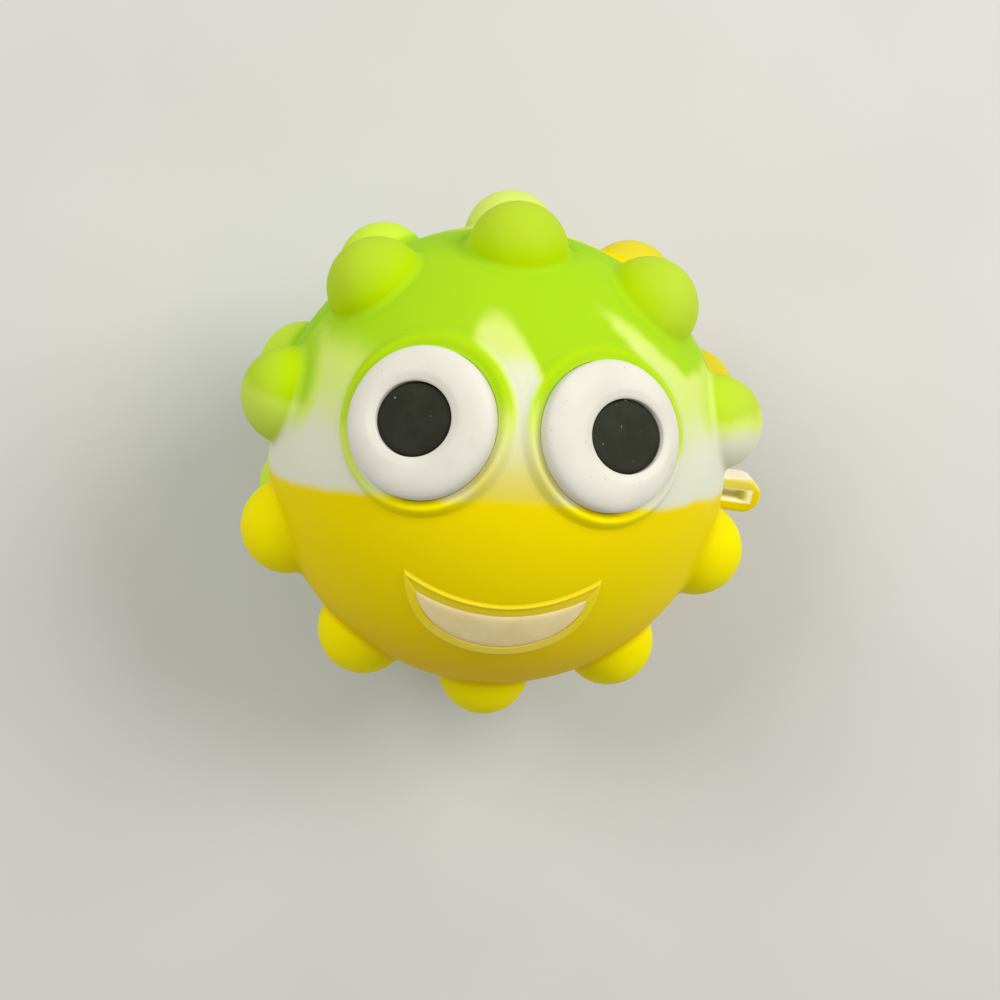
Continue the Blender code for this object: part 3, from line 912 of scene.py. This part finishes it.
def teeth_paint(place):
    """Flat cream with faint clouds and a few specks."""
    cloud = place.noise(3.0, 3.0)
    speck = place.noise(0.5, 0.0).rise(0.28, 0.32) * place.noise(2.0, 0.0).rise(0.08, 0.16)
    base = mixed(cloud.rise(-0.25, 0.25), linear(232, 212, 156), linear(240, 221, 166))
    return mixed(speck * 0.4, base, linear(140, 120, 70))


teeth_rubber = rubber("teeth_rubber", teeth_paint, roughness=0.55, grain=0.00001, soft=0.05)
TEETH_ROWS = 28
s = np.sin(np.linspace(-np.pi / 2, np.pi / 2, 90))
upper_line = looking(*teeth_upper(s))
lower_line = looking(*teeth_lower(s))
down = np.linspace(0, 1, TEETH_ROWS)[:, None, None]
face = unit(upper_line * (1 - down) + lower_line * down)
edge_soft = TEETH_ROUNDING * (1 - np.abs(2 * down[..., 0] - 1) ** 8)
front = face * (BALL_R + TEETH_LIFT - TEETH_ROUNDING + edge_soft)[..., None]
back = face[::-1] * (BALL_R - TEETH_BACK)
rows = np.concatenate([front, back])
plate = grid_quads(rows.shape[0], len(s), join_rows=True, join_columns=False)
ends = []
for column, flip in ((0, True), (len(s) - 1, False)):  # a narrow wall closes each corner
    top = np.arange(TEETH_ROWS - 1) * len(s) + column
    bottom = (2 * TEETH_ROWS - 1 - np.arange(TEETH_ROWS - 1)) * len(s) + column
    side = np.stack([top, top + len(s), bottom - len(s), bottom], axis=1)
    ends.append(side[:, ::-1] if flip else side)
piece("teeth_plate", rows.reshape(-1, 3), [plate, *ends], "ball", nodes=["teeth"], finish=teeth_rubber)
smile = np.degrees(np.arccos(outer_line[0] @ outer_line[LIP_STEPS - 1]))
print("the smile is", round(float(smile), 1), "degrees wide")

# %% [markdown]
# ## The hanging loop
#
# The loop is a flat band bent into a U, with its two ends in the side of the ball. Its section is a
# rectangle with four rounded corners, which is carried along a path that runs out, round half a
# circle and back. It is white above and yellow below, where the two batches of rubber met.

# %% Build the loop
LOOP_REACH, LOOP_WIDTH, LOOP_BAND, LOOP_DEPTH = 0.0360, 0.0046, 0.00164, 0.0048
LOOP_THICKER = 0.0005  # how much thicker the band is at its end
LOOP_EDGE = 0.0004  # radius of the band's long edges
LOOP_ROOT = 0.0292  # where its two ends are, inside the wall of the ball
LOOP_TURN = math.radians(4.9)  # below the level of the face's middle
LOOP_OUT = np.array([math.cos(LOOP_TURN), -math.sin(LOOP_TURN), 0.0])
LOOP_UP = np.array([math.sin(LOOP_TURN), math.cos(LOOP_TURN), 0.0])


def loop_paint(place):
    """Off-white on top and towards the back, yellow below, and a bright cream inside the slot that is
    painted light.
    """
    wobble = place.noise(2.0, 2.0) * 0.01
    level = (place.y - place.z * 0.35) * place.out + wobble
    across = (place.towards(LOOP_UP) * place.out).math("ABSOLUTE")
    slot = across.rise(0.036, 0.027) * (place.towards(LOOP_OUT) * place.out).rise(1.165, 1.150)
    lower = mixed(level.rise(-0.075, -0.105), linear(228, 216, 96), YELLOW)
    # Inside the slot the wall is painted a bright near-white cream, lighter than the shade it lies in:
    # painted light.
    lower = mixed(slot, lower, linear(255, 250, 205))
    return mixed(level.rise(-0.052, -0.036), lower, linear(240, 236, 214))


loop_rubber = rubber("loop_rubber", loop_paint, soft=0.5)


def loop_points(section_steps=36, bend_steps=34, leg_steps=7):
    """Sections of a rounded rectangle carried along the U.

    A point of a section is the centre of its corner plus the edge radius times the cosine and sine
    of its angle. The band is a little thicker at the end of the U, by the cosine of the angle round
    the bend.
    """
    far = LOOP_REACH - LOOP_WIDTH / 2
    angle = np.linspace(-np.pi / 2, np.pi / 2, bend_steps)
    thick = LOOP_BAND + LOOP_THICKER * np.cos(angle)
    bend = (LOOP_WIDTH - thick) / 2
    straight = np.linspace(LOOP_ROOT, far, leg_steps + 1)[:-1]
    leg = np.ones(leg_steps)
    path = np.concatenate(
        [
            np.stack([straight, -bend[0] * leg], axis=1),
            np.stack([far + bend * np.cos(angle), bend * np.sin(angle)], axis=1),
            np.stack([straight[::-1], bend[-1] * leg], axis=1),
        ]
    )
    band = np.concatenate([LOOP_BAND * leg, thick, LOOP_BAND * leg])
    outward = np.concatenate(
        [
            np.stack([0 * leg, -leg], axis=1),
            np.stack([np.cos(angle), np.sin(angle)], axis=1),
            np.stack([0 * leg, leg], axis=1),
        ]
    )
    turn = (np.arange(section_steps) + 0.5) * 2 * np.pi / section_steps
    across = np.sign(np.cos(turn)) * (band[:, None] / 2 - LOOP_EDGE) + LOOP_EDGE * np.cos(turn)
    deep = np.sign(np.sin(turn)) * (LOOP_DEPTH / 2 - LOOP_EDGE) + LOOP_EDGE * np.sin(turn)
    flat = path[:, None, :] + outward[:, None, :] * across[..., None]
    deep = np.broadcast_to(deep[None, :, None], (*flat.shape[:2], 1))
    return np.concatenate([flat, deep], axis=-1)


rows = loop_points()
sections, steps = rows.shape[:2]
points = np.concatenate([rows.reshape(-1, 3), rows[[0, -1]].mean(axis=1)])
faces = [
    grid_quads(sections, steps),
    fan(sections * steps, 0, steps, True),
    fan(sections * steps + 1, (sections - 1) * steps, steps, False),
]
points = points @ np.stack([LOOP_OUT, LOOP_UP, [0.0, 0.0, 1.0]])
piece("hang_loop_band", points, faces, "ball", nodes=["hang_loop"], finish=loop_rubber)
print("the loop stands", round((LOOP_REACH - BALL_R) * 1000, 1), "mm out of the ball")

# %% [markdown]
# ## The table and the light
#
# The ball lies on its back on a plain pale surface and is seen nearly from straight above. One broad
# lamp stands on the right and a weaker one on the left. Both are high up and beyond the forehead, so
# that the chin falls into shade and two soft shadows lie on the floor. An even world fills the rest.

# %% Floor, lamps and world
def floor_material():
    """A matt pale grey with the faintest mottling."""
    material = bpy.data.materials.new("pale_floor")
    material.use_nodes = True
    tree = material.node_tree
    shader = tree.nodes["Principled BSDF"]
    place = Place(tree)
    tone = mixed(place.noise(60.0, 2.0).rise(-0.3, 0.3), linear(196, 196, 193), linear(202, 202, 199))
    tree.links.new(tone.socket, shader.inputs["Base Color"])
    shader.inputs["Roughness"].default_value = 0.8
    return material


FLOOR_HALF = 3.0  # half the side of the floor, far beyond what is seen
corners = np.array([[-1, -1, 0], [1, -1, 0], [1, 1, 0], [-1, 1, 0]]) * FLOOR_HALF
floor_mesh = bpy.data.meshes.new("floor")
floor_mesh.from_pydata(corners.tolist(), [], [(0, 1, 2, 3)])
floor = bpy.data.objects.new("floor", floor_mesh)
bpy.context.scene.collection.objects.link(floor)
floor_mesh.materials.append(floor_material())


LAMP_SIZE = 0.26
LAMP_COLOUR = (1.0, 0.985, 0.95)


def lamp(name, place, watts):
    """A square lamp that points at the ball."""
    data = bpy.data.lights.new(name, "AREA")
    data.size, data.energy, data.color = LAMP_SIZE, watts, LAMP_COLOUR
    obj = bpy.data.objects.new(name, data)
    bpy.context.scene.collection.objects.link(obj)
    obj.location = place
    aim = CENTRE - np.array(place)
    obj.rotation_euler = (
        math.atan2(math.hypot(aim[0], aim[1]), -aim[2]),
        0,
        math.atan2(-aim[0], aim[1]),
    )


lamp("right_lamp", (0.34, 0.19, 0.42), 2.10)
lamp("left_lamp", (-0.31, 0.19, 0.44), 1.30)

world = bpy.data.worlds.new("soft_room")
world.use_nodes = True
background = world.node_tree.nodes["Background"]
background.inputs["Color"].default_value = (1.0, 0.99, 0.96, 1.0)
background.inputs["Strength"].default_value = 0.46
bpy.context.scene.world = world
bpy.context.scene.view_settings.view_transform = "Standard"

# %% Camera
CAMERA_PLACE = (-0.00978, -0.01320, 0.14921)  # from the ball's centre
CAMERA_TURN = (2.576, -4.174, 3.110)  # in degrees

camera_data = bpy.data.cameras.new("camera")
camera_data.lens = 40.32
camera_data.sensor_width = 36.0
camera_data.clip_start = 0.005  # the ball is close
camera = bpy.data.objects.new("camera", camera_data)
bpy.context.scene.collection.objects.link(camera)
camera.location = CENTRE + CAMERA_PLACE
camera.rotation_euler = tuple(math.radians(a) for a in CAMERA_TURN)
bpy.context.scene.camera = camera
